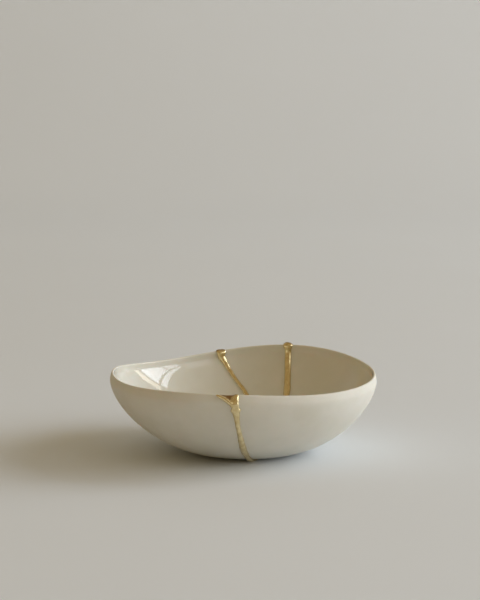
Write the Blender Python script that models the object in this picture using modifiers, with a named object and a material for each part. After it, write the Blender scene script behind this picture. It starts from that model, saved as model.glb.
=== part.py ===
"""A free-form porcelain tea bowl, broken into three shards and mended with raised gold seams.

Metres, +Z up. The origin is the centre of the flat foot, on the table, and -Y is the front.
"""

import math

import bmesh
import bpy
from mathutils import Matrix, Vector

# Sizes of the porcelain
RIM_RADIUS = 0.0612
RIM_HEIGHT = 0.0363
FOOT_RADIUS = 0.0195
RIM_WALL = 0.0014
FLOOR_THICKNESS = 0.0032

# How far the middle of the rim stands from the middle of the foot
RIM_SHIFT_X = -0.0030
RIM_SHIFT_Y = -0.0012

# The rim is neither round nor level: how many crests go round it, their size, and where one stands in degrees
PLAN_WAVES = ((2, 0.0020, 81), (3, 0.0010, -13), (4, 0.0008, 57))
HEIGHT_WAVES = ((1, 0.0005, 12), (2, 0.0019, 46), (3, 0.00065, 61), (4, 0.0006, -12))

# The wall turns a little past upright, so that the rim tucks in. Fullness 1 would make it a circle's arc.
WALL_SWEEP = math.radians(99)
WALL_FULLNESS = 1.27

# Along the outside, shares run from 0 at the foot's centre, past the foot's edge, to 1 at the rim
FOOT_EDGE = 0.25

# Sizes of the gold. A bead stands this share of its width above the porcelain.
BEAD_RISE = 0.35
WEB_WIDTH = 0.0006
JOINT_GAP = 0.0003
FOOT_RELIEF = 0.0002
CHIP_RECESS = 0.0003

# Each crack runs from the rim to the junction: direction in degrees, share, and the width of its gold
JUNCTION = (55, 0.33, 0.0024)
JUNCTION_BLOT = 0.0038
FRONT_CRACK = (
    (268, 1.0, 0.0026),
    (268, 0.865, 0.0034),
    (267.6, 0.79, 0.0024),
    (268, 0.68, 0.0020),
    (268, 0.58, 0.0028),
    (270.5, 0.44, 0.0026),
    (276, 0.32, 0.0022),
    (290, 0.21, 0.0020),
    (326, 0.14, 0.0020),
    (26, 0.17, 0.0020),
    JUNCTION,
)
BACK_LEFT_CRACK = (
    (99, 1.0, 0.0040),
    (96.8, 0.88, 0.0026),
    (94, 0.77, 0.0020),
    (88.8, 0.64, 0.0023),
    (80, 0.495, 0.0019),
    (67, 0.40, 0.0023),
    JUNCTION,
)
BACK_RIGHT_CRACK = (
    (69.2, 1.0, 0.0044),
    (69, 0.84, 0.0030),
    (67.5, 0.68, 0.0030),
    (66.8, 0.63, 0.0034),
    (61.4, 0.50, 0.0022),
    (57, 0.41, 0.0024),
    JUNCTION,
)
CRACKS = {"front": FRONT_CRACK, "back left": BACK_LEFT_CRACK, "back right": BACK_RIGHT_CRACK}

# How far the gold stands above the rim where it turns over it, at the back right as a knob
LIP_RISES = {"front": 0.0006, "back left": 0.0006, "back right": 0.0012}

# The chip lost from the rim beside the front crack, from its foot to the rim's two sides of it, and the gold
# line along its lower edge
CHIP_FOOT = (268, 0.84)
CHIP_RIM = ((260.5, 1.0), (268, 1.0))
CHIP_LINE = ((260.5, 1.0, 0.0010), (263.2, 0.975, 0.0018), (265.5, 0.93, 0.0020), (267.6, 0.85, 0.0024))

# A place on each shard, which tells the pieces of the broken bowl apart
SHARDS = {"shard_left": (180, 0.7), "shard_back": (84, 0.9), "shard_right": (0, 0.7)}

# Facets, and how far a cutter reaches past what it cuts
STEPS_ROUND = 72
RINGS_OUTSIDE = 12
RINGS_INSIDE = 11
RINGS_LIP = 5
STEPS_BETWEEN_STOPS = 2
BEAD_SIDES = 10
CUT_REACH = 0.0015
PAST_RIM = 0.08
CHIP_PAST_RIM = 1.5

# Materials: name, base colour, roughness, metallic
PORCELAIN = ("porcelain", (0.80, 0.77, 0.70, 1), 0.35, 0.0)
GOLD = ("gold", (0.72, 0.52, 0.22, 1), 0.30, 1.0)


# The wall as a formula

def waves(table, direction):
    """The sum of the waves at a direction in radians."""
    return sum(size * math.cos(count * (direction - math.radians(crest))) for count, size, crest in table)


def wall_rise(turn):
    """How far the wall has risen when it has turned this far from level, where upright is 1."""
    side = math.cos(turn)
    return 1 - math.copysign(abs(side) ** WALL_FULLNESS, side)


def outer_profile(share):
    """Radius and height of the outside of the round bowl, before it is pushed out of round."""
    if share <= FOOT_EDGE:
        return Vector((FOOT_RADIUS * share / FOOT_EDGE, 0))
    turn = WALL_SWEEP * (share - FOOT_EDGE) / (1 - FOOT_EDGE)
    spread = (math.sin(turn) / math.sin(WALL_SWEEP)) ** WALL_FULLNESS
    rise = wall_rise(turn) / wall_rise(WALL_SWEEP)
    return Vector((FOOT_RADIUS + (RIM_RADIUS - FOOT_RADIUS) * spread, (RIM_HEIGHT - RIM_WALL / 2) * rise))


def inward(share):
    """The unit normal of the outside, into the wall, in the profile's plane."""
    step = 0.01
    along = outer_profile(share + step) - outer_profile(max(0, share - step))
    return Vector((-along.y, along.x)).normalized()


def thickness(share):
    """The wall's thickness: the floor's in the foot, thinning evenly to the rim's."""
    climb = max(0, min(1, (share - FOOT_EDGE) / (1 - FOOT_EDGE)))
    return FLOOR_THICKNESS + (RIM_WALL - FLOOR_THICKNESS) * climb


def free_form(point):
    """Moves a point of the round bowl to its place in the free-form one."""
    radius = math.hypot(point.x, point.y)
    direction = math.atan2(point.y, point.x)
    spread = max(0, (radius - FOOT_RADIUS) / (RIM_RADIUS - FOOT_RADIUS))
    from_centre = min(1, radius / FOOT_RADIUS)
    fade = from_centre * from_centre * (3 - 2 * from_centre)
    radius += spread * waves(PLAN_WAVES, direction)
    return Vector((
        radius * math.cos(direction) + spread * RIM_SHIFT_X,
        radius * math.sin(direction) + spread * RIM_SHIFT_Y,
        point.z * (1 + fade * waves(HEIGHT_WAVES, direction) / RIM_HEIGHT),
    ))


def wall_point(direction, share, depth):
    """A point at a depth below the outside of the finished bowl."""
    flat = outer_profile(share) + inward(share) * depth
    return free_form(Vector((flat.x * math.cos(direction), flat.x * math.sin(direction), flat.y)))


def outside_length():
    """The way along the outside from the foot's centre to the rim."""
    steps = 60
    places = [outer_profile(step / steps) for step in range(steps + 1)]
    return sum((end - start).length for start, end in zip(places, places[1:]))


# Shared helpers

def new_collection(name, parent):
    collection = bpy.data.collections.new(name)
    parent.children.link(collection)
    return collection


def mesh_object(name, bm, collection):
    mesh = bpy.data.meshes.new(name)
    bm.to_mesh(mesh)
    bm.free()
    made = bpy.data.objects.new(name, mesh)
    collection.objects.link(made)
    return made


def hidden(cutter):
    cutter.hide_render = True
    cutter.display_type = "WIRE"
    return cutter


def baked(source, collection):
    """Replaces an object by a plain mesh of what it shows, with its open caps welded on."""
    bpy.context.view_layer.update()
    shown = source.evaluated_get(bpy.context.evaluated_depsgraph_get())
    mesh = bpy.data.meshes.new_from_object(shown)
    name = source.name
    bpy.data.objects.remove(source)
    bm = bmesh.new()
    bm.from_mesh(mesh)
    bpy.data.meshes.remove(mesh)
    bmesh.ops.remove_doubles(bm, verts=bm.verts, dist=1e-6)
    bmesh.ops.recalc_face_normals(bm, faces=bm.faces)
    return mesh_object(name, bm, collection)


def boolean(target, operation, other):
    modifier = target.modifiers.new(f"{operation.lower()} {other.name}", "BOOLEAN")
    modifier.operation = operation
    modifier.solver = "EXACT"
    if isinstance(other, bpy.types.Collection):
        modifier.operand_type = "COLLECTION"
        modifier.collection = other
    else:
        modifier.object = other


def principled(name, colour, roughness, metallic):
    material = bpy.data.materials.new(name)
    material.use_nodes = True
    shader = material.node_tree.nodes["Principled BSDF"]
    shader.inputs["Base Color"].default_value = colour
    shader.inputs["Roughness"].default_value = roughness
    shader.inputs["Metallic"].default_value = metallic
    return material


# The turned bowl

def cross_section(grow):
    """The outline from the middle of the inside, over the lip and down the outside to the middle of the foot.

    A positive grow moves every face outward by that much.
    """
    points = []
    for ring in range(RINGS_INSIDE + 1):
        share = ring / RINGS_INSIDE
        points.append(outer_profile(share) + inward(share) * (thickness(share) + grow))
    points[0].x = 0
    outside_edge = outer_profile(1) - inward(1) * grow
    middle = (points[-1] + outside_edge) / 2
    outward = outside_edge - middle
    upward = Vector((-outward.y, outward.x))
    for ring in range(1, RINGS_LIP):
        angle = math.pi * ring / RINGS_LIP
        points.append(middle - outward * math.cos(angle) + upward * math.sin(angle))
    for ring in range(RINGS_OUTSIDE + 1):
        share = 1 - (1 - FOOT_EDGE) * ring / RINGS_OUTSIDE
        points.append(outer_profile(share) - inward(share) * grow)
    points.append(Vector((0, -grow)))
    return points


def turned_bowl(name, grow, collection):
    """The cross-section turned about the foot's axis, then moved to its free form."""
    bm = bmesh.new()
    corners = [bm.verts.new((point.x, 0, point.y)) for point in cross_section(grow)]
    for start, end in zip(corners, corners[1:]):
        bm.edges.new((start, end))
    bowl = mesh_object(name, bm, collection)
    screw = bowl.modifiers.new("turn", "SCREW")
    screw.axis = "Z"
    screw.steps = screw.render_steps = STEPS_ROUND
    screw.use_merge_vertices = True
    screw.merge_threshold = 1e-5
    bowl = baked(bowl, collection)
    for vertex in bowl.data.vertices:
        vertex.co = free_form(vertex.co)
    return hidden(bowl)


# The cracks, drawn on a flat map of the outside whose unit is the way from the foot's centre to the rim

def on_map(direction, share):
    return Vector((share * math.cos(direction), share * math.sin(direction)))


def off_map(place):
    """Direction in radians and share."""
    return math.atan2(place.y, place.x), place.length


def smooth_path(stops):
    """Places along a smooth curve through the stops: direction in radians, share, and width."""
    knots = [on_map(math.radians(direction), share) for direction, share, _ in stops]
    widths = [width for _, _, width in stops]
    last = len(knots) - 1
    path = []
    for step in range(last * STEPS_BETWEEN_STOPS + 1):
        along = step / STEPS_BETWEEN_STOPS
        start = min(int(along), last - 1)
        part = along - start
        before, near, far, after = (knots[max(0, min(last, start + turn))] for turn in (-1, 0, 1, 2))
        place = near + (far - before) * part / 2
        place += (before - near * 2.5 + far * 2 - after / 2) * part**2
        place += (near * 1.5 - before / 2 - far * 1.5 + after / 2) * part**3
        path.append((*off_map(place), widths[start] + (widths[start + 1] - widths[start]) * part))
    return path


def crack_sheet(name, stops, width, reach, past_rim, collection):
    """A sheet through the wall along a crack, a little longer than it at both ends."""
    stations = [(direction, share) for direction, share, _ in smooth_path(stops)]
    rim_direction, rim_share = stations[0]
    last, before = on_map(*stations[-1]), on_map(*stations[-2])
    end = last + (last - before).normalized() * (width / 2) / outside_length()
    stations = [(rim_direction, rim_share + past_rim), *stations[1:], off_map(end)]
    bm = bmesh.new()
    bmesh.ops.create_grid(bm, x_segments=len(stations) - 1, y_segments=1, size=1)
    for vertex in bm.verts:
        direction, share = stations[round((vertex.co.x + 1) / 2 * (len(stations) - 1))]
        depth = thickness(share) + reach if vertex.co.y > 0 else -reach
        vertex.co = wall_point(direction, share, depth)
    sheet = mesh_object(name, bm, collection)
    solidify = sheet.modifiers.new("thicken", "SOLIDIFY")
    solidify.thickness = width
    solidify.offset = 0
    return hidden(baked(sheet, collection))


def chip_block(name, grow, collection):
    """A three-sided block through the wall where the chip was, its corners moved apart by grow."""
    foot, left, right = (on_map(math.radians(direction), share) for direction, share in (CHIP_FOOT, *CHIP_RIM))
    corners = [foot, foot + (right - foot) * CHIP_PAST_RIM, foot + (left - foot) * CHIP_PAST_RIM]
    middle = sum(corners, Vector((0, 0))) / len(corners)
    bm = bmesh.new()
    bmesh.ops.create_cone(bm, cap_ends=True, segments=3, radius1=1, radius2=1, depth=2)
    for vertex in bm.verts:
        corner = corners[round(math.atan2(vertex.co.x, vertex.co.y) * 3 / (2 * math.pi)) % 3]
        place = corner + (corner - middle).normalized() * grow / outside_length()
        depth = FLOOR_THICKNESS + CUT_REACH if vertex.co.z > 0 else -2 * CUT_REACH
        vertex.co = wall_point(*off_map(place), depth)
    return hidden(mesh_object(name, bm, collection))


def break_bowl(bowl, widen, cutters):
    """Cuts a bowl along the cracks and the chip. Widen moves the broken faces apart on each side."""
    for name, stops in CRACKS.items():
        width = WEB_WIDTH + 2 * widen
        boolean(bowl, "DIFFERENCE", crack_sheet(f"{name} cut {widen:g}", stops, width, CUT_REACH, PAST_RIM, cutters))
    boolean(bowl, "DIFFERENCE", chip_block(f"chip cut {widen:g}", 2 * widen, cutters))
    return baked(bowl, cutters)


def shard_of(bowl, name, parts):
    """The piece of the broken bowl that holds the shard's place."""
    direction, share = SHARDS[name]
    place = wall_point(math.radians(direction), share, 0)
    bm = bmesh.new()
    bm.from_mesh(bowl.data)
    first = min(bm.verts, key=lambda vertex: (vertex.co - place).length)
    kept, waiting = {first}, [first]
    while waiting:
        vertex = waiting.pop()
        for edge in vertex.link_edges:
            other = edge.other_vert(vertex)
            if other not in kept:
                kept.add(other)
                waiting.append(other)
    bmesh.ops.delete(bm, geom=[vertex for vertex in bm.verts if vertex not in kept], context="VERTS")
    return mesh_object(name, bm, parts)


# The gold

def map_stretch(share):
    """How much wider the flat map is than the wall, across a crack that runs down it."""
    return max(1, share * outside_length() / outer_profile(share).x)


def bead(name, stops, inside, collection):
    """A flattened rod of gold along a crack, half sunk in the outer or the inner face.

    It is drawn round on the flat map and then laid on the wall.
    """
    curve = bpy.data.curves.new(name, "CURVE")
    curve.dimensions = "3D"
    curve.bevel_depth = 1
    curve.bevel_resolution = BEAD_SIDES // 2 - 2
    curve.use_fill_caps = True
    spline = curve.splines.new("POLY")
    path = smooth_path(stops)
    spline.points.add(len(path) - 1)
    length = outside_length()
    for point, (direction, share, width) in zip(spline.points, path):
        point.co = (*on_map(direction, share) * length, 0, 1)
        point.radius = width / 2 * map_stretch(share)
    rod = bpy.data.objects.new(name, curve)
    collection.objects.link(rod)
    rod = baked(rod, collection)
    for vertex in rod.data.vertices:
        direction, share = off_map(vertex.co.xy / length)
        rise = vertex.co.z / map_stretch(share) * 2 * BEAD_RISE
        vertex.co = wall_point(direction, share, rise + (thickness(share) if inside else 0))
    return hidden(rod)


def lump(name, stop, depth, half_sizes, collection):
    """An egg of gold over a stop. Its half sizes run along the bowl's radius, along the rim, and up."""
    direction, share = math.radians(stop[0]), stop[1]
    bm = bmesh.new()
    sizes = Matrix.Diagonal((*half_sizes, 1))
    turn = Matrix.Rotation(direction, 4, "Z")
    place = Matrix.Translation(wall_point(direction, share, depth))
    bmesh.ops.create_uvsphere(bm, u_segments=12, v_segments=8, radius=1, matrix=place @ turn @ sizes)
    return hidden(mesh_object(name, bm, collection))


def chip_filling(collection, cutters):
    """Gold in place of the chip, a little below the surface of the wall."""
    filling = turned_bowl("chip filling", -CHIP_RECESS, collection)
    boolean(filling, "INTERSECT", chip_block("chip room", 2 * JOINT_GAP, cutters))
    return hidden(baked(filling, collection))


def space_below(cutters):
    """The table's side of the foot. The gold is rubbed down there, so that the bowl stands on porcelain."""
    bm = bmesh.new()
    across = 3 * RIM_RADIUS
    sizes = Matrix.Diagonal((across, across, RIM_HEIGHT, 1))
    place = Matrix.Translation((0, 0, FOOT_RELIEF - RIM_HEIGHT / 2))
    bmesh.ops.create_cube(bm, size=1, matrix=place @ sizes)
    return hidden(mesh_object("space below", bm, cutters))


def gold_seam(shards_with_room, parts, cutters):
    """All the gold as one piece: sheets in the cracks, beads on both faces, the lips and the chip's filling."""
    lumps = new_collection("gold lumps", cutters)
    for name, stops in CRACKS.items():
        crack_sheet(f"{name} sheet", stops, WEB_WIDTH + 2 * JOINT_GAP, JOINT_GAP, 0, lumps)
        bead(f"{name} inside", stops, True, lumps)
        half_wall = RIM_WALL / 2
        rim_width = stops[0][2]
        half_sizes = (half_wall + BEAD_RISE * rim_width, rim_width / 2, half_wall + LIP_RISES[name])
        lump(f"{name} lip", stops[0], half_wall, half_sizes, lumps)
    bead("back left outside", BACK_LEFT_CRACK, False, lumps)
    bead("back right outside", BACK_RIGHT_CRACK, False, lumps)
    bead("chip line", CHIP_LINE, False, lumps)
    half_sizes = (JUNCTION_BLOT / 2, JUNCTION_BLOT / 2, BEAD_RISE * JUNCTION_BLOT)
    lump("junction inside", JUNCTION, thickness(JUNCTION[1]), half_sizes, lumps)
    lump("junction outside", JUNCTION, 0, half_sizes, lumps)
    chip_filling(lumps, cutters)

    seam = bead("front outside", FRONT_CRACK, False, parts)
    seam.name = "gold_seam"
    seam.hide_render = False
    seam.display_type = "TEXTURED"
    boolean(seam, "UNION", lumps)
    boolean(seam, "DIFFERENCE", shards_with_room)
    boolean(seam, "DIFFERENCE", space_below(cutters))
    return seam


def finish_piece(piece, material):
    piece.data.materials.append(material)
    piece.data.shade_smooth()
    piece.data.set_sharp_from_angle(angle=math.radians(40))


def build():
    for old in list(bpy.data.objects):
        bpy.data.objects.remove(old)
    parts = new_collection("kintsugi tea bowl", bpy.context.scene.collection)
    cutters = new_collection("cutters", bpy.context.scene.collection)

    bowl = break_bowl(turned_bowl("bowl", 0, cutters), JOINT_GAP, cutters)
    porcelain = principled(*PORCELAIN)
    for name in SHARDS:
        finish_piece(shard_of(bowl, name, parts), porcelain)
    bpy.data.objects.remove(bowl)

    shards_with_room = hidden(break_bowl(turned_bowl("shards with room", JOINT_GAP, cutters), 0, cutters))
    finish_piece(gold_seam(shards_with_room, parts, cutters), principled(*GOLD))


build()
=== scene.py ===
# %% [markdown]
# # A free-form porcelain tea bowl mended with gold
#
# The real bowl is thin porcelain, taken to be 12 cm across, matt outside and glazed inside. It broke into three
# shards, and a small chip of the rim was lost. Lacquer dusted with gold powder holds the shards together.
#
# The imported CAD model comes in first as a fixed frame. It gives the size and place of every piece, in metres,
# with the foot's centre at the origin. The finer pieces below are built round it and then take its place.

import math

import bmesh
import bpy
from mathutils import Matrix, Vector, noise
from mathutils.bvhtree import BVHTree


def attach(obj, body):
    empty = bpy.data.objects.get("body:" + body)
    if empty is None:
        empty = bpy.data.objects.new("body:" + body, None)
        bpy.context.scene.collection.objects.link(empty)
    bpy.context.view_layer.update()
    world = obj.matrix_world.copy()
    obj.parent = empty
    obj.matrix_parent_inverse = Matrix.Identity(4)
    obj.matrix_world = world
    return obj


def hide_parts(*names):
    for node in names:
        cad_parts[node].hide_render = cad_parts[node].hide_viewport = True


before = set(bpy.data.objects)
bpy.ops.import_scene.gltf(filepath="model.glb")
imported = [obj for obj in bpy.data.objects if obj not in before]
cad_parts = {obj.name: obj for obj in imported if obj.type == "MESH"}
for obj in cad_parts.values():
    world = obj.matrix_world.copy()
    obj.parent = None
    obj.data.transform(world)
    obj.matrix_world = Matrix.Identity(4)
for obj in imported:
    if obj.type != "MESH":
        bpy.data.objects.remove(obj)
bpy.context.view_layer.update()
print("CAD nodes:", sorted(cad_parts))

# %% [markdown]
# ## The camera
#
# The bowl is seen from just above the table, through a long lens, so that its rim is a flat ellipse. A long lens
# from far away keeps the near and the far rim at almost the same scale. The lens and the view from 12 degrees
# above the table are assumptions, because the outline of the bowl fits several angles about equally well.

# %% Place the camera
lens = bpy.data.cameras.new("camera")
lens.lens = 120
lens.sensor_width = 36
lens.clip_start = 0.01
camera = bpy.data.objects.new("camera", lens)
camera.location = (-0.0037, -0.885, 0.1881)
camera.rotation_euler = (math.radians(82.27), 0, 0)
bpy.context.scene.collection.objects.link(camera)
bpy.context.scene.camera = camera
print("camera stands", round(camera.location.length * 1000), "mm from the foot")

# %% [markdown]
# ## The shape of the wall
#
# Such a bowl is pinched or thrown and then pressed out of round by hand. It could be sculpted, but a formula is
# easier to keep true: a round profile, from the flat foot up to a rim that tucks in a little, which a few low
# waves then push out of round and out of level. Places on the outside are given by a direction and a share of
# the way from the foot's centre, 0, to the rim, 1. A depth below the outside reaches the rest of the wall.

# %% The round profile
RIM_RADIUS = 0.0612
RIM_HEIGHT = 0.0363
FOOT_RADIUS = 0.0195
RIM_WALL = 0.0014
FLOOR_THICKNESS = 0.0032

# The wall turns a little past upright. Fullness 1 would make it a circle's arc.
WALL_SWEEP = math.radians(99)
WALL_FULLNESS = 1.27

# Shares of the way from the foot's centre to the rim: the foot's edge, and where the lip's thinning starts
FOOT_EDGE = 0.25
LIP_STARTS = 0.5
LIP_THINNING = 0.0003


def smoothstep(value):
    """0 below 0, 1 above 1, smooth between them."""
    value = max(0, min(1, value))
    return value * value * (3 - 2 * value)


def thickness(share):
    """The wall thins evenly from the floor to the rim, and a little more in its upper half."""
    climb = max(0, min(1, (share - FOOT_EDGE) / (1 - FOOT_EDGE)))
    at_lip = smoothstep((share - LIP_STARTS) / (1 - LIP_STARTS))
    return FLOOR_THICKNESS + (RIM_WALL - FLOOR_THICKNESS) * climb - LIP_THINNING * at_lip


def wall_rise(turn):
    """How far the wall has risen when it has turned this far from level, where upright is 1."""
    side = math.cos(turn)
    return 1 - math.copysign(abs(side) ** WALL_FULLNESS, side)


def outer_profile(share):
    """Radius and height of the outside of the round bowl."""
    if share <= FOOT_EDGE:
        return Vector((FOOT_RADIUS * share / FOOT_EDGE, 0))
    turn = WALL_SWEEP * (share - FOOT_EDGE) / (1 - FOOT_EDGE)
    spread = (math.sin(turn) / math.sin(WALL_SWEEP)) ** WALL_FULLNESS
    rise = wall_rise(turn) / wall_rise(WALL_SWEEP)
    radius = FOOT_RADIUS + (RIM_RADIUS - FOOT_RADIUS) * spread
    height = (RIM_HEIGHT - thickness(1) / 2) * rise
    return Vector((radius, height))


def inward(share):
    """The unit normal of the outside, into the wall."""
    step = 0.01
    along = outer_profile(share + step) - outer_profile(max(0, share - step))
    return Vector((-along.y, along.x)).normalized()


print("wall in mm, at the foot and the rim:", thickness(0) * 1000, thickness(1) * 1000)

# %% Pushed out of round
# How far the rim's middle stands from the foot's, and the waves: how many crests, their size, one crest's degrees
RIM_SHIFT_X = -0.0030
RIM_SHIFT_Y = -0.0012
PLAN_WAVES = ((2, 0.0020, 81), (3, 0.0010, -13), (4, 0.0008, 57))
HEIGHT_WAVES = ((1, 0.0005, 12), (2, 0.0019, 46), (3, 0.00065, 61), (4, 0.0006, -12))


def waves(table, direction):
    """The sum of the waves at a direction in radians."""
    return sum(size * math.cos(count * (direction - math.radians(crest))) for count, size, crest in table)


def free_form(point):
    """Moves a point of the round bowl to its place in the free-form one."""
    radius = math.hypot(point.x, point.y)
    direction = math.atan2(point.y, point.x)
    spread = max(0, (radius - FOOT_RADIUS) / (RIM_RADIUS - FOOT_RADIUS))
    fade = smoothstep(radius / FOOT_RADIUS)
    radius += spread * waves(PLAN_WAVES, direction)
    return Vector((
        radius * math.cos(direction) + spread * RIM_SHIFT_X,
        radius * math.sin(direction) + spread * RIM_SHIFT_Y,
        point.z * (1 + fade * waves(HEIGHT_WAVES, direction) / RIM_HEIGHT),
    ))


def wall_point(direction, share, depth):
    """A point at a depth below the outside of the finished bowl."""
    flat = outer_profile(share) + inward(share) * depth
    return free_form(Vector((flat.x * math.cos(direction), flat.x * math.sin(direction), flat.y)))


print("rim height in mm, at the left and the right:",
      [round(wall_point(math.radians(angle), 1, 0).z * 1000, 1) for angle in (180, 0)])

# %% [markdown]
# ## The porcelain, in one piece
#
# A closed skin is wanted: inside, rounded lip, outside and foot. A lathe modifier would need a second step for
# the free form, so the skin is laid straight as rings of points, with faces between the rings. Fine rings give a
# smooth outline without subdivision, and the fingers' slight unevenness goes in here, as real relief.

# %% Lay the rings
STEPS_ROUND = 300
RINGS_INSIDE = 64
RINGS_LIP = 12
RINGS_OUTSIDE = 60
RINGS_FOOT = 6

# The fingers' relief: its height, the width of its swells, their stretch upwards, and the height of its full size
UNEVENNESS = 0.00022
UNEVENNESS_WIDTH = 0.017
UNEVENNESS_STRETCH = 0.6
UNEVENNESS_FULL_AT = 0.012

# On one side the rim opens a little over a hollow. A higher power keeps each to a narrower part of the rim.
FLARE = 0.0007
FLARE_SIDE = math.radians(131)
FLARE_HEIGHTS = (0.018, 0.036)
FLARE_POWER = 4
FLARE_HOLLOW = 0.0012
HOLLOW_HEIGHTS = (0.010, 0.0375)
HOLLOW_POWER = 10

scene_collection = bpy.context.scene.collection


def new_object(name, mesh):
    """An object of the mesh, linked to the scene."""
    made = bpy.data.objects.new(name, mesh)
    scene_collection.objects.link(made)
    return made


def ring_profile(recess):
    """Radius and height of each ring, from the middle of the inside, over the lip, to the middle of the foot.

    A recess draws the outer face that far into the wall.
    """
    points = []
    for ring in range(RINGS_INSIDE + 1):
        share = ring / RINGS_INSIDE
        points.append(outer_profile(share) + inward(share) * thickness(share))
    outside_edge = outer_profile(1) + inward(1) * recess
    middle = (points[-1] + outside_edge) / 2
    outward = outside_edge - middle
    upward = Vector((-outward.y, outward.x))
    for ring in range(1, RINGS_LIP):
        angle = math.pi * ring / RINGS_LIP
        points.append(middle - outward * math.cos(angle) + upward * math.sin(angle))
    for ring in range(RINGS_OUTSIDE):
        share = 1 - (1 - FOOT_EDGE) * ring / RINGS_OUTSIDE
        points.append(outer_profile(share) + inward(share) * recess)
    for ring in range(RINGS_FOOT + 1):
        points.append(outer_profile(FOOT_EDGE * (1 - ring / RINGS_FOOT)))
    return points


def uneven(point):
    """Moves a point of the wall by the slight hollows and swells that fingers leave, but not the foot.

    On one side the rim also stands a little more open, over a slight hollow.
    """
    climb = smoothstep(point.z / UNEVENNESS_FULL_AT)
    swells = Vector((point.x, point.y, point.z * UNEVENNESS_STRETCH)) / UNEVENNESS_WIDTH
    push = noise.noise(swells) * UNEVENNESS * climb
    towards = max(0, math.cos(math.atan2(point.y, point.x) - FLARE_SIDE))
    low, high = FLARE_HEIGHTS
    push += FLARE * towards**FLARE_POWER * max(0, (point.z - low) / (high - low)) ** 2
    low, high = HOLLOW_HEIGHTS
    up_hollow = max(0, min(1, (point.z - low) / (high - low)))
    push -= FLARE_HOLLOW * towards**HOLLOW_POWER * math.sin(math.pi * up_hollow)
    return point + Vector((point.x, point.y, 0)).normalized() * push


def skin_of_rings(name, rings):
    """A closed mesh of rings whose first and last ones are single points on the axis."""
    turns = [2 * math.pi * step / STEPS_ROUND for step in range(STEPS_ROUND)]
    places = [uneven(free_form(Vector((0, 0, rings[0].y))))]
    for ring in rings[1:-1]:
        for turn in turns:
            round_place = Vector((ring.x * math.cos(turn), ring.x * math.sin(turn), ring.y))
            places.append(uneven(free_form(round_place)))
    places.append(Vector((0, 0, rings[-1].y)))
    faces = []
    last = len(places) - 1
    for step in range(STEPS_ROUND):
        after = (step + 1) % STEPS_ROUND
        faces.append((0, 1 + step, 1 + after))
        for ring in range(len(rings) - 3):
            near, far = 1 + ring * STEPS_ROUND, 1 + (ring + 1) * STEPS_ROUND
            faces.append((near + step, far + step, far + after, near + after))
        end = 1 + (len(rings) - 3) * STEPS_ROUND
        faces.append((last, end + after, end + step))
    mesh = bpy.data.meshes.new(name)
    mesh.from_pydata(places, [], faces)
    return new_object(name, mesh)


rings = ring_profile(0)
whole_bowl = skin_of_rings("whole_bowl", rings)
print("whole bowl:", len(whole_bowl.data.polygons), "faces,",
      "size in mm", [round(value * 1000, 1) for value in whole_bowl.dimensions])

# %% [markdown]
# ## Outside, inside and the way between
#
# Glaze and bare clay meet along the lip, and the gold's edges thin out where it meets the wall. Both need to know
# how far a point is from the outer and the inner face. Trees of the two faces answer that quickly, for points
# that a cut or a remesh adds later as well.

# %% Trees of the two faces
NEVER_ZERO = 1e-9


def face_tree(first_ring, last_ring):
    """A search tree of the bowl's faces between two rings."""
    data = whole_bowl.data
    first, last = 1 + (first_ring - 1) * STEPS_ROUND, 1 + last_ring * STEPS_ROUND
    polygons = [
        tuple(face.vertices) for face in data.polygons if all(first <= corner < last for corner in face.vertices)
    ]
    return BVHTree.FromPolygons([vertex.co for vertex in data.vertices], polygons)


outer_start = RINGS_INSIDE + RINGS_LIP
inner_face = face_tree(1, RINGS_INSIDE)
outer_face = face_tree(outer_start, len(rings) - 2)


def rise_above(point):
    """How far a point stands above the nearer face of the wall, or below it where negative."""
    rises = []
    for face in (inner_face, outer_face):
        nearest, normal, _, distance = face.find_nearest(point)
        side = (point - nearest).dot(normal)
        rises.append(math.copysign(distance, side))
    return max(rises)


def glazed_share(point):
    """0 on the outer face, 1 on the inner one, and between them over the lip."""
    inner = inner_face.find_nearest(point)[3]
    outer = outer_face.find_nearest(point)[3]
    return outer / (outer + inner + NEVER_ZERO)


probe = wall_point(0, 0.8, -0.001)
print("a probe 1 mm off the outside reads", round(rise_above(probe) * 1000, 2), "mm")

# %% [markdown]
# ## The cracks
#
# A crack in porcelain is a smooth wandering line. Each is drawn as stops on a flat map of the outside, joined by
# a smooth curve, so that the same line gives the cut through the wall, the gold in it and the gold on both faces.
# Drawing on the surface by hand would look the same, but the stops can be read and changed.

# %% Draw the cracks
# Each stop is a direction in degrees, a share of the way to the rim, and the width of the gold there
JUNCTION = (55, 0.33, 0.0026)
FRONT_CRACK = (
    (268, 1.0, 0.0019),
    (268, 0.95, 0.0020),
    (267.9, 0.91, 0.0026),
    (267.7, 0.865, 0.0042),
    (267.9, 0.835, 0.0033),
    (268, 0.80, 0.0025),
    (268.2, 0.74, 0.0023),
    (268.7, 0.68, 0.0025),
    (269.0, 0.62, 0.0030),
    (269.5, 0.55, 0.0033),
    (270.8, 0.46, 0.0030),
    (272.5, 0.38, 0.0028),
    (276, 0.32, 0.0024),
    (290, 0.21, 0.0022),
    (326, 0.14, 0.0021),
    (26, 0.17, 0.0021),
    JUNCTION,
)
BACK_LEFT_CRACK = (
    (99, 1.0, 0.0049),
    (98.9, 0.955, 0.0037),
    (98.2, 0.90, 0.0030),
    (97.1, 0.85, 0.0026),
    (95.7, 0.80, 0.0023),
    (94, 0.75, 0.0022),
    (91.8, 0.70, 0.0021),
    (89.0, 0.645, 0.0023),
    (80, 0.495, 0.0020),
    (67, 0.40, 0.0023),
    JUNCTION,
)
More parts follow.
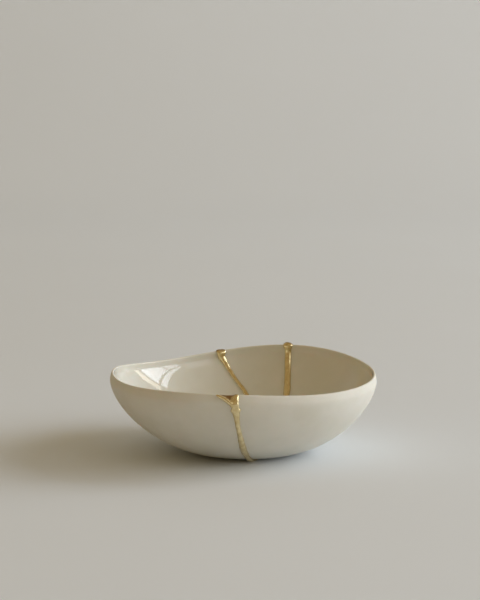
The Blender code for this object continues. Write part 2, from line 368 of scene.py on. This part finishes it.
BACK_RIGHT_CRACK = (
    (69.2, 1.0, 0.0036),
    (69.2, 0.95, 0.0034),
    (69, 0.88, 0.0034),
    (68.7, 0.82, 0.0034),
    (67.9, 0.75, 0.0033),
    (67.1, 0.70, 0.0034),
    (66.2, 0.655, 0.0036),
    (65.0, 0.60, 0.0032),
    (61.4, 0.50, 0.0023),
    (57, 0.41, 0.0024),
    JUNCTION,
)
CRACKS = {"front": FRONT_CRACK, "back_left": BACK_LEFT_CRACK, "back_right": BACK_RIGHT_CRACK}
STEPS_MEASURED = 8


def outside_length():
    """The way along the outside from the foot's centre to the rim."""
    steps = 60
    places = [outer_profile(step / steps) for step in range(steps + 1)]
    return sum((end - start).length for start, end in zip(places, places[1:]))


def on_map(direction, share):
    """The place on the flat map, where the rim is a circle of radius 1."""
    return Vector((share * math.cos(direction), share * math.sin(direction)))


def off_map(place):
    """Direction in radians and share."""
    return math.atan2(place.y, place.x), place.length


def smooth_path(stops, steps):
    """Places along a smooth curve through the stops: direction in radians, share, and width."""
    knots = [on_map(math.radians(direction), share) for direction, share, _ in stops]
    widths = [width for _, _, width in stops]
    last = len(knots) - 1
    path = []
    for step in range(last * steps + 1):
        start = min(step // steps, last - 1)
        part = step / steps - start
        before, near, far, after = (knots[max(0, min(last, start + turn))] for turn in (-1, 0, 1, 2))
        place = near + (far - before) * part / 2
        place += (before - near * 2.5 + far * 2 - after / 2) * part**2
        place += (near * 1.5 - before / 2 - far * 1.5 + after / 2) * part**3
        width = widths[start] + (widths[start + 1] - widths[start]) * smoothstep(part)
        path.append((*off_map(place), width))
    return path


for name, stops in CRACKS.items():
    path = [wall_point(direction, share, 0) for direction, share, _ in smooth_path(stops, STEPS_MEASURED)]
    length = sum((end - start).length for start, end in zip(path, path[1:]))
    print(name, "crack:", round(length * 1000), "mm long")

# %% [markdown]
# ## Breaking the bowl
#
# A sheet through the wall along each crack, and a block where the chip was, are taken away with Boolean
# modifiers. What is left falls into three loose parts, told apart by one known place on each. A knife cut would
# leave no broken faces inside the wall, and the Boolean makes them.

# %% Cutters
CUT_WIDTH = 0.0007
CUT_REACH = 0.0015
CUT_STEPS = 6
PAST_RIM = 0.08

# Direction in degrees and share of each corner of the chip: along its curved edge, and well past the rim
CHIP_EDGE = ((260.4, 1.0), (262.4, 0.990), (264.4, 0.974), (265.9, 0.945), (267.1, 0.905), (268, 0.86))
CHIP_TOP = ((268, 1.1), (260.4, 1.1))


def mesh_of(name, bm):
    """An object of what was built in bm, which is freed."""
    mesh = bpy.data.meshes.new(name)
    bm.to_mesh(mesh)
    bm.free()
    return new_object(name, mesh)


def crack_sheet(name, stops, width, reach, past_rim):
    """A sheet through the wall along a crack, a little longer than it at both ends."""
    stations = [(direction, share) for direction, share, _ in smooth_path(stops, CUT_STEPS)]
    last, before = on_map(*stations[-1]), on_map(*stations[-2])
    end = last + (last - before).normalized() * (width / 2) / outside_length()
    stations = [(stations[0][0], stations[0][1] + past_rim), *stations[1:], off_map(end)]
    bm = bmesh.new()
    rails = []
    for direction, share in stations:
        rails.append([
            bm.verts.new(wall_point(direction, share, depth)) for depth in (-reach, thickness(share) + reach)
        ])
    for near, far in zip(rails, rails[1:]):
        bm.faces.new((near[0], near[1], far[1], far[0]))
    sheet = mesh_of(name, bm)
    solid = sheet.modifiers.new("thicken", "SOLIDIFY")
    solid.thickness = width
    solid.offset = 0
    return sheet


def chip_block(name, grow):
    """A block through the wall where the chip was, its corners moved apart by grow."""
    corners = [on_map(math.radians(direction), share) for direction, share in (*CHIP_EDGE, *CHIP_TOP)]
    middle = sum(corners, Vector((0, 0))) / len(corners)
    bm = bmesh.new()
    ends = []
    for depth in (-2 * CUT_REACH, FLOOR_THICKNESS + CUT_REACH):
        end = []
        for corner in corners:
            moved = corner + (corner - middle).normalized() * grow / outside_length()
            end.append(bm.verts.new(wall_point(*off_map(moved), depth)))
        ends.append(end)
    bm.faces.new(ends[0])
    bm.faces.new(reversed(ends[1]))
    for corner in range(len(corners)):
        after = (corner + 1) % len(corners)
        bm.faces.new((ends[0][after], ends[0][corner], ends[1][corner], ends[1][after]))
    bmesh.ops.recalc_face_normals(bm, faces=bm.faces)
    bmesh.ops.triangulate(bm, faces=bm.faces)
    return mesh_of(name, bm)


cutters = [
    crack_sheet(f"{name}_cut", stops, CUT_WIDTH, CUT_REACH, PAST_RIM) for name, stops in CRACKS.items()
]
cutters.append(chip_block("chip_cut", 0))
print(len(cutters), "cutters")

# %% Cut, and tell the shards apart
# Edges shorter than a sliver are the Boolean's leftovers. Each shard has one place that is surely on it.
SLIVER = 0.00003
SHARD_PLACES = {"shard_left": (180, 0.7), "shard_back": (84, 0.9), "shard_right": (0, 0.7)}


def boolean(target, operation, other):
    """Adds a Boolean modifier that takes the other object as it is when the target is baked."""
    modifier = target.modifiers.new(f"{operation.lower()} {other.name}", "BOOLEAN")
    modifier.operation = operation
    modifier.solver = "MANIFOLD"
    modifier.object = other


def baked_mesh(source):
    """A plain mesh of what an object shows, with its modifiers applied. The object itself is removed."""
    bpy.context.view_layer.update()
    mesh = bpy.data.meshes.new_from_object(source.evaluated_get(bpy.context.evaluated_depsgraph_get()))
    bpy.data.objects.remove(source)
    return mesh


def shard_object(name, broken):
    """The loose part of the broken bowl nearest the shard's place, as the piece NAME_fine."""
    direction, share = SHARD_PLACES[name]
    place = wall_point(math.radians(direction), share, 0)
    bm = bmesh.new()
    bm.from_mesh(broken)
    first = min(bm.verts, key=lambda vertex: (vertex.co - place).length)
    kept, waiting = {first}, [first]
    while waiting:
        for edge in waiting.pop().link_edges:
            for other in edge.verts:
                if other not in kept:
                    kept.add(other)
                    waiting.append(other)
    bmesh.ops.delete(bm, geom=[vertex for vertex in bm.verts if vertex not in kept], context="VERTS")
    bmesh.ops.remove_doubles(bm, verts=bm.verts, dist=SLIVER)
    many_sided = [face for face in bm.faces if len(face.verts) > 4]
    bmesh.ops.triangulate(bm, faces=many_sided, ngon_method="BEAUTY")
    bmesh.ops.dissolve_degenerate(bm, edges=bm.edges, dist=SLIVER)
    open_edges = sum(len(edge.link_faces) != 2 for edge in bm.edges)
    print(name, "edges without two faces:", open_edges)
    return mesh_of(f"{name}_fine", bm)


for cutter in cutters:
    boolean(whole_bowl, "DIFFERENCE", cutter)
broken_bowl = baked_mesh(whole_bowl)
for cutter in cutters:
    bpy.data.objects.remove(cutter)
shards = {name: shard_object(name, broken_bowl) for name in SHARD_PLACES}
for name, shard in shards.items():
    print(name, len(shard.data.vertices), "points")

# %% Mark where the glaze lies
GLAZE = "glazed_share"
SHARP_ANGLE = math.radians(35)


def mark(piece, name, measure):
    """Stores a measure of every point on the mesh, for the materials to read."""
    layer = piece.data.attributes.new(name, "FLOAT", "POINT")
    layer.data.foreach_set("value", [measure(vertex.co) for vertex in piece.data.vertices])


for name, shard in shards.items():
    mark(shard, GLAZE, glazed_share)
    shard.data.shade_smooth()
    shard.data.set_sharp_from_angle(angle=SHARP_ANGLE)
print("glaze marked on", len(shards), "shards")

# %% [markdown]
# ## The gold
#
# The mender fills each crack with lacquer, lays a proud line of it over the joint on both faces, and dusts gold
# powder on while it is wet. The line swells where the brush paused, and stands up as a bead. Here each crack gets
# one rounded ridge that runs up the outside, over the lip and down the inside, a web through the wall, and small
# drops. A voxel remesh then melts them into one skin, as the wet lacquer did, and smoothing draws it tight.

# %% A ridge round the wall
RIDGE_SIDES = 20
RIDGE_SUNK = 0.00035
STEPS_PER_STOP = 14
LIP_STEPS = 12
ROUNDNESS = 1.1
PROBE_DEPTH = 0.001


def station(direction, share, width, depth, into):
    """A place at a depth, the place that far into the wall below it, and the width."""
    return wall_point(direction, share, depth), wall_point(direction, share, depth + into), width


def skin_stations(stops):
    """Place, outward normal and width along a crack: up the outside, over the lip and down the inside."""
    path = smooth_path(stops, STEPS_PER_STOP)
    outside = [station(*stop, 0, PROBE_DEPTH) for stop in reversed(path)]
    inside = [station(*stop, thickness(stop[1]), -PROBE_DEPTH) for stop in path]
    top, bottom, width = outside[-1][0], inside[0][0], path[0][2]
    middle = (top + bottom) / 2
    across = top - middle
    up = (wall_point(path[0][0], 1, 0) - wall_point(path[0][0], 0.98, 0)).normalized() * across.length
    lip = []
    for step in range(1, LIP_STEPS):
        angle = math.pi * step / LIP_STEPS
        lip.append((middle + across * math.cos(angle) + up * math.sin(angle), middle, width))
    return [
        (uneven(place), (place - below).normalized(), width) for place, below, width in outside + lip + inside
    ]


def ridge(name, stations, rises):
    """A closed rounded ridge along the stations, its underside sunk a little in the wall."""
    bm = bmesh.new()
    loops = []
    count = len(stations)
    for index, (place, normal, width) in enumerate(stations):
        along = (stations[min(index + 1, count - 1)][0] - stations[max(index - 1, 0)][0]).normalized()
        side = normal.cross(along).normalized()
        rise = rises(index / (count - 1), width)
        loop = []
        for turn in range(RIDGE_SIDES):
            angle = 2 * math.pi * turn / RIDGE_SIDES
            height = math.copysign(abs(math.sin(angle)) ** ROUNDNESS, math.sin(angle))
            height *= rise if height > 0 else RIDGE_SUNK
            loop.append(bm.verts.new(place + side * math.cos(angle) * width / 2 + normal * height))
        loops.append(loop)
    for near, far in zip(loops, loops[1:]):
        for turn in range(RIDGE_SIDES):
            after = (turn + 1) % RIDGE_SIDES
            bm.faces.new((near[turn], near[after], far[after], far[turn]))
    bm.faces.new(reversed(loops[0]))
    bm.faces.new(loops[-1])
    bmesh.ops.recalc_face_normals(bm, faces=bm.faces)
    return mesh_of(name, bm)


# How high a ridge stands: this much, and this share of its width more. At the lip it keeps a share of that.
LEAST_RISE = 0.0006
RISE_PER_WIDTH = 0.17
LIP_RISE = 0.20
LIP_REACH = 0.03


def usual_rise(along, width):
    """The ridge's height, the same for a width anywhere along it."""
    return LEAST_RISE + RISE_PER_WIDTH * width


def lower_at_lip(along, width):
    """Halfway along, where the ridge turns over the lip, it lies flatter."""
    from_lip = smoothstep(abs(along - 0.5) / LIP_REACH)
    return usual_rise(along, width) * (LIP_RISE + (1 - LIP_RISE) * from_lip)


lumps = [ridge(f"{name}_ridge", skin_stations(stops), lower_at_lip) for name, stops in CRACKS.items()]
print("ridges:", [len(lump.data.polygons) for lump in lumps])

# %% Drops, the knob and the junction
KNOB = (69.2, 1.0, (0.0019, 0.0026, 0.0018))
JUNCTION_BLOT = 0.0042
BLOT_RISE = 0.0010
DROP_SEGMENTS = 32
DROP_RINGS = 20

# Direction in degrees, share, depth as a share of the wall's thickness, half width, and half thickness
DROPS = (
    (66.3, 0.647, 1, 0.0014, 0.0010),
    (266.8, 0.862, 0, 0.0012, 0.0009),
    (268.9, 0.868, 0, 0.0010, 0.0008),
    (266.7, 0.975, 0.4, 0.0013, 0.0007),
    (267.2, 0.925, 0.1, 0.0013, 0.0009),
)


def drop(name, direction, share, depth, half_sizes):
    """An egg of gold. Its half sizes run along the bowl's radius, along the rim, and up."""
    bm = bmesh.new()
    place = Matrix.Translation(wall_point(direction, share, depth))
    turn = Matrix.Rotation(direction, 4, "Z")
    size = Matrix.Diagonal((*half_sizes, 1))
    bmesh.ops.create_uvsphere(
        bm, u_segments=DROP_SEGMENTS, v_segments=DROP_RINGS, radius=1, matrix=place @ turn @ size)
    return mesh_of(name, bm)


direction, share, half_sizes = KNOB
lumps.append(drop("knob", math.radians(direction), share, thickness(1) / 2, half_sizes))
for number, (direction, share, depth_share, half_width, rise) in enumerate(DROPS):
    depth = thickness(share) * depth_share
    lumps.append(drop(f"drop_{number}", math.radians(direction), share, depth, (rise, half_width, half_width)))
for depth in (0, thickness(JUNCTION[1])):
    blot = (JUNCTION_BLOT / 2, JUNCTION_BLOT / 2, BLOT_RISE)
    lumps.append(drop("junction", math.radians(JUNCTION[0]), JUNCTION[1], depth, blot))
print(len(lumps), "lumps of gold so far")

# %% The web in the cracks, and the chip's filling
WEB_WIDTH = 0.0009
CHIP_RECESS = 0.0004
CHIP_OVERLAP = 0.0004
CHIP_LINE = (
    (260.2, 1.0, 0.0009),
    (262.3, 0.986, 0.0015),
    (264.2, 0.966, 0.0020),
    (265.7, 0.936, 0.0022),
    (266.9, 0.900, 0.0023),
    (267.6, 0.860, 0.0024),
)

for name, stops in CRACKS.items():
    lumps.append(crack_sheet(f"{name}_web", stops, WEB_WIDTH, 0, 0))

chip_filling = skin_of_rings("chip_filling", ring_profile(CHIP_RECESS))
chip_room = chip_block("chip_room", CHIP_OVERLAP)
boolean(chip_filling, "INTERSECT", chip_room)
lumps.append(new_object("chip_filling", baked_mesh(chip_filling)))
bpy.data.objects.remove(chip_room)
chip_stations = []
for stop in smooth_path(CHIP_LINE, STEPS_PER_STOP):
    place, below, width = station(*stop, 0, PROBE_DEPTH)
    chip_stations.append((place, (place - below).normalized(), width))
lumps.append(ridge("chip_line", chip_stations, usual_rise))
print(len(lumps), "lumps of gold")

# %% Melt the gold into one skin
VOXEL = 0.00025
TIGHTENINGS = 14
FOOT_RELIEF = 0.00003

# The gold's small swells: their height, the widths of the coarse and the fine ones, and the fine ones' share
GOLD_UNEVENNESS = 0.00012
COARSE_SWELL = 0.0035
FINE_SWELL = 0.0016
FINE_SHARE = 0.35


def joined(pieces, name):
    """One mesh of all the pieces' own meshes, their modifiers applied."""
    bm = bmesh.new()
    for piece in pieces:
        mesh = baked_mesh(piece)
        bm.from_mesh(mesh)
        bpy.data.meshes.remove(mesh)
    return mesh_of(name, bm)


gold = joined(lumps, "gold_lumps")
melt = gold.modifiers.new("melt", "REMESH")
melt.mode = "VOXEL"
melt.voxel_size = VOXEL
draw = gold.modifiers.new("draw tight", "SMOOTH")
draw.factor = 0.5
draw.iterations = TIGHTENINGS
gold = new_object("gold_seam_fine", baked_mesh(gold))
skin = [(vertex.co.copy(), vertex.normal.copy()) for vertex in gold.data.vertices]
for vertex, (place, normal) in zip(gold.data.vertices, skin):
    swell = noise.noise(place / COARSE_SWELL) + FINE_SHARE * noise.noise(place / FINE_SWELL)
    moved = place + normal * swell * GOLD_UNEVENNESS
    moved.z = max(moved.z, FOOT_RELIEF)
    vertex.co = moved
gold.data.shade_smooth()
print("gold:", len(gold.data.polygons), "faces,",
      "size in mm", [round(value * 1000, 1) for value in gold.dimensions])

# %% Measure how far the gold stands up
RISE = "gold_rise"
mark(gold, RISE, rise_above)
print("gold's rise marked")

# %% [markdown]
# ## Materials as sums
#
# A material is a net of nodes. Written as sums, it reads in the order in which a maker thinks: how much glaze
# lies here, how worn is it, how dark does that make it. One small class wraps a node's socket for that.

# %% A socket that can be reckoned with
class Layer:
    """A socket of a material's nodes. A sum on it adds the Math nodes that work it out."""

    def __init__(self, tree, socket=None):
        self.tree = tree
        self.socket = socket

    def node(self, kind, settings, sockets, output=0):
        """Any other node: its type, its settings, then the values or links of its sockets."""
        made = self.tree.nodes.new(f"ShaderNode{kind}")
        for name, value in settings.items():
            if name == "stops":
                elements = made.color_ramp.elements
                while len(elements) < len(value):
                    elements.new(1)
                for element, (position, colour) in zip(elements, value):
                    element.position = position
                    element.color = (*colour, 1)
            else:
                setattr(made, name, value)
        for name, value in sockets.items():
            if isinstance(value, Layer):
                self.tree.links.new(value.socket, made.inputs[name])
            else:
                made.inputs[name].default_value = value
        return Layer(self.tree, made.outputs[output])

    def maths(self, operation, *values):
        """The result of a Math node."""
        return self.node("Math", {"operation": operation}, dict(enumerate(values)))

    def __add__(self, other):
        return self.maths("ADD", self, other)

    def __sub__(self, other):
        return self.maths("SUBTRACT", self, other)

    def __mul__(self, other):
        return self.maths("MULTIPLY", self, other)

    def __rsub__(self, other):
        return self.maths("SUBTRACT", other, self)

    __radd__ = __add__
    __rmul__ = __mul__

    def between(self, low, high):
        """0 below low, 1 above high, smooth between them."""
        return self.node("MapRange", {"interpolation_type": "SMOOTHSTEP"}, {0: self, 1: low, 2: high})

    def mix(self, dark, bright):
        """The colour between two, by this share."""
        return self.node("Mix", {"data_type": "RGBA"}, {0: self, 6: dark, 7: bright}, 2)

    def speckle(self, scale, detail=2.0, roughness=0.5):
        """Noise between 0 and 1 over this place, which is in metres."""
        return self.node("TexNoise", {}, {"Vector": self, "Scale": scale, "Detail": detail, "Roughness": roughness})


def new_finish(name):
    """A material, its shader, and a layer that gives the place on the object."""
    material = bpy.data.materials.new(name)
    material.use_nodes = True
    tree = material.node_tree
    place = Layer(tree).node("TexCoord", {}, {}, 3)
    return material, tree.nodes["Principled BSDF"], place


def lay_on(layer, shader, name):
    """Links a layer to one of the shader's inputs."""
    layer.tree.links.new(layer.socket, shader.inputs[name])


print("shader sums ready")

# %% [markdown]
# ## Porcelain, glazed inside and bare outside
#
# Bare fired porcelain is matt with a fine tooth, warm white and a little uneven. The clear glaze inside makes it
# glossy and a shade lighter, and thins at the lip. Two materials would meet in a hard line, so one shader wears its
# clear coat only where the glaze lies, and roughness follows the same share.

# %% The porcelain finish
# Roughness of the bare face, how much the glaze takes from it, and how much the tooth of the clay changes it
BARE_ROUGHNESS = 0.62
GLAZE_SMOOTHS = 0.52
TOOTH_ROUGHENS = 0.10

porcelain, shader, place = new_finish("porcelain_fine")
share = place.node("Attribute", {"attribute_name": GLAZE}, {}, 2)
drift = place.speckle(420, 3)
glaze = (share + (drift - 0.5) * 0.2).between(0.6, 0.9)
cloud = place.speckle(45, 4, 0.6)
tooth = place.speckle(2600, 3, 0.6)
clouded = cloud.between(0.35, 0.65)
bare = clouded.mix((0.705, 0.683, 0.598, 1), (0.745, 0.722, 0.642, 1))
glazed = clouded.mix((0.735, 0.717, 0.622, 1), (0.775, 0.757, 0.668, 1))
colour = glaze.mix(bare, glazed)
lay_on(colour, shader, "Base Color")
roughness = BARE_ROUGHNESS - glaze * GLAZE_SMOOTHS + (tooth - 0.5) * (1 - glaze) * TOOTH_ROUGHENS
lay_on(roughness, shader, "Roughness")
lay_on(glaze, shader, "Coat Weight")
shader.inputs["Coat Roughness"].default_value = 0.012
shader.inputs["Coat IOR"].default_value = 1.42
shader.inputs["Specular IOR Level"].default_value = 0.22
shader.inputs["Subsurface Weight"].default_value = 0.2
shader.inputs["Subsurface Radius"].default_value = (1.0, 0.65, 0.42)
shader.inputs["Subsurface Scale"].default_value = 0.0016
shader.inputs["IOR"].default_value = 1.45
relief = (tooth * (1 - glaze)) * 0.6 + place.speckle(160, 2) * 0.25
bump = place.node("Bump", {}, {"Strength": 0.25, "Distance": 0.00006, "Height": relief})
lay_on(bump, shader, "Normal")
print("porcelain:", len(porcelain.node_tree.nodes), "nodes")

# %% [markdown]
# ## Gold powder on lacquer
#
# The powder is burnished to a satin shine where it stands proud. Where it thins out at the edges and lies low in
# the chip it turns brown, partly lacquer showing through and partly painted shade, which darkens the bead's edges
# and the chip's hollow. It could be one plain metal, but the thin edge is what tells a mend from a wire. The stored
# rise above the wall drives it.

# %% The gold finish
# Roughness of the lacquer, how much the burnished powder takes from it, and how much the grain changes it
LACQUER_ROUGHNESS = 0.45
POWDER_SMOOTHS = 0.20
GRAIN_ROUGHENS = 0.20

# How metallic the lacquer is, and how much more the powder is
LACQUER_METAL = 0.65
POWDER_METAL = 0.35

gold_finish, shader, place = new_finish("gold_fine")
rise = place.node("Attribute", {"attribute_name": RISE}, {}, 2)
grain = place.speckle(5200, 3, 0.7)
patch = place.speckle(520, 3, 0.6)
proud = (rise * 1000 + (patch - 0.5) * 0.35).between(-0.45, 0.40)
powder = patch.between(0.3, 0.7).mix((0.72, 0.575, 0.30, 1), (0.89, 0.755, 0.45, 1))
# Brown where the gold lies low: partly lacquer showing through, partly painted shade on the bead's edges and in the
# chip's hollow
colour = proud.mix((0.30, 0.18, 0.075, 1), powder)
lay_on(colour, shader, "Base Color")
lay_on(proud * POWDER_METAL + LACQUER_METAL, shader, "Metallic")
roughness = LACQUER_ROUGHNESS - proud * POWDER_SMOOTHS + (grain - 0.5) * GRAIN_ROUGHENS
lay_on(roughness, shader, "Roughness")
bump = place.node("Bump", {}, {"Strength": 0.5, "Distance": 0.00003, "Height": grain * 0.3 + patch * 0.6})
lay_on(bump, shader, "Normal")
print("gold:", len(gold_finish.node_tree.nodes), "nodes")

# %% Dress the pieces
for name, shard in shards.items():
    shard.data.materials.clear()
    shard.data.materials.append(porcelain)
    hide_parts(name)
    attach(shard, "root")
gold.data.materials.clear()
gold.data.materials.append(gold_finish)
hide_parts("gold_seam")
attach(gold, "root")
print("pieces dressed:", [*(shard.name for shard in shards.values()), gold.name])

# %% [markdown]
# ## Floor and light
#
# The floor is plain and pale, and sweeps up behind the bowl so that no edge shows. Cool daylight comes from the
# right through a window of two panes, with a low pane above them and a strip of curtain beside them, which all
# show in the glaze. A dim panel stands for the room's near side, another lights the backdrop, and a warm dim
# surround fills the shadows. One big lamp would light as softly, but its reflection would be a plain blot.

# %% The floor
TURN_STEPS = 24


def sweep(name, near, far, half_width, turn_radius, height):
    """A floor that curves up into a backdrop."""
    profile = [(near, 0)]
    for step in range(TURN_STEPS + 1):
        angle = math.pi / 2 * step / TURN_STEPS
        profile.append((far + turn_radius * math.sin(angle), turn_radius * (1 - math.cos(angle))))
    profile.append((far + turn_radius, height))
    bm = bmesh.new()
    rails = [[bm.verts.new((x, y, z)) for x in (-half_width, half_width)] for y, z in profile]
    for low, high in zip(rails, rails[1:]):
        bm.faces.new((low[0], low[1], high[1], high[0]))
    return mesh_of(name, bm)


floor = sweep("floor", near=-2.5, far=1.15, half_width=4.0, turn_radius=0.6, height=3.0)
floor.data.shade_smooth()
floor_finish, shader, place = new_finish("floor_plain")
shade = place.speckle(3.0, 2)
lay_on(shade.mix((0.755, 0.785, 0.81, 1), (0.785, 0.815, 0.84, 1)), shader, "Base Color")
shader.inputs["Roughness"].default_value = 0.9
floor.data.materials.append(floor_finish)
print("floor:", len(floor.data.polygons), "faces")

# %% The light
def panel(name, place, aim, width, height, power, colour):
    """A soft rectangular lamp at a place, turned to face another."""
    lamp = bpy.data.lights.new(name, "AREA")
    lamp.shape = "RECTANGLE"
    lamp.size = width
    lamp.size_y = height
    lamp.energy = power
    lamp.color = colour
    held = bpy.data.objects.new(name, lamp)
    held.location = place
    held.rotation_euler = (Vector(aim) - Vector(place)).to_track_quat("-Z", "Y").to_euler()
    scene_collection.objects.link(held)


DAYLIGHT = (0.795, 0.865, 0.965)
WARM = (1.0, 0.765, 0.43)
WINDOW_FACES = math.radians(60)
WINDOW_AWAY = 2.2
SURROUND_STRENGTH = 0.338

# Start and end along the window, low and high edge, in units of its distance, then power and colour
PANES = {
    "window_left": (0.10, 0.73, 0.04, 0.84, 46.0, DAYLIGHT),
    "window_right": (0.81, 1.33, 0.04, 0.82, 28.5, DAYLIGHT),
    "window_top": (0.10, 1.33, 0.91, 1.05, 14.5, DAYLIGHT),
    "curtain": (-0.06, 0.05, 0.04, 0.90, 5.0, (1.0, 0.9, 0.75)),
}


def on_window(along, up):
    """A place on the upright plane of the window, along it and up it in units of its distance."""
    out = Vector((math.sin(WINDOW_FACES), math.cos(WINDOW_FACES), 0))
    side = Vector((math.cos(WINDOW_FACES), -math.sin(WINDOW_FACES), 0))
    return (out + side * along + Vector((0, 0, up))) * WINDOW_AWAY


def pane(name, start, end, low, high, power, colour):
    """A part of the window, which faces straight into the room."""
    middle = on_window((start + end) / 2, (low + high) / 2)
    aim = middle - on_window(0, 0).normalized()
    width = (end - start) * WINDOW_AWAY
    height = (high - low) * WINDOW_AWAY
    panel(name, middle, aim, width, height, power, colour)


for name, measures in PANES.items():
    pane(name, *measures)
panel("room_side", (1.35, -1.35, 1.1), (0, 0, 0), 1.0, 1.0, 3.6, DAYLIGHT)
panel("backdrop_light", (0, 0.9, 1.0), (0, 1.75, 0.5), 2.0, 0.4, 1.2, DAYLIGHT)

world = bpy.data.worlds.new("surround")
world.use_nodes = True
background = world.node_tree.nodes["Background"]
background.inputs["Color"].default_value = (*WARM, 1)
background.inputs["Strength"].default_value = SURROUND_STRENGTH
bpy.context.scene.world = world
bpy.context.scene.view_settings.view_transform = "Standard"
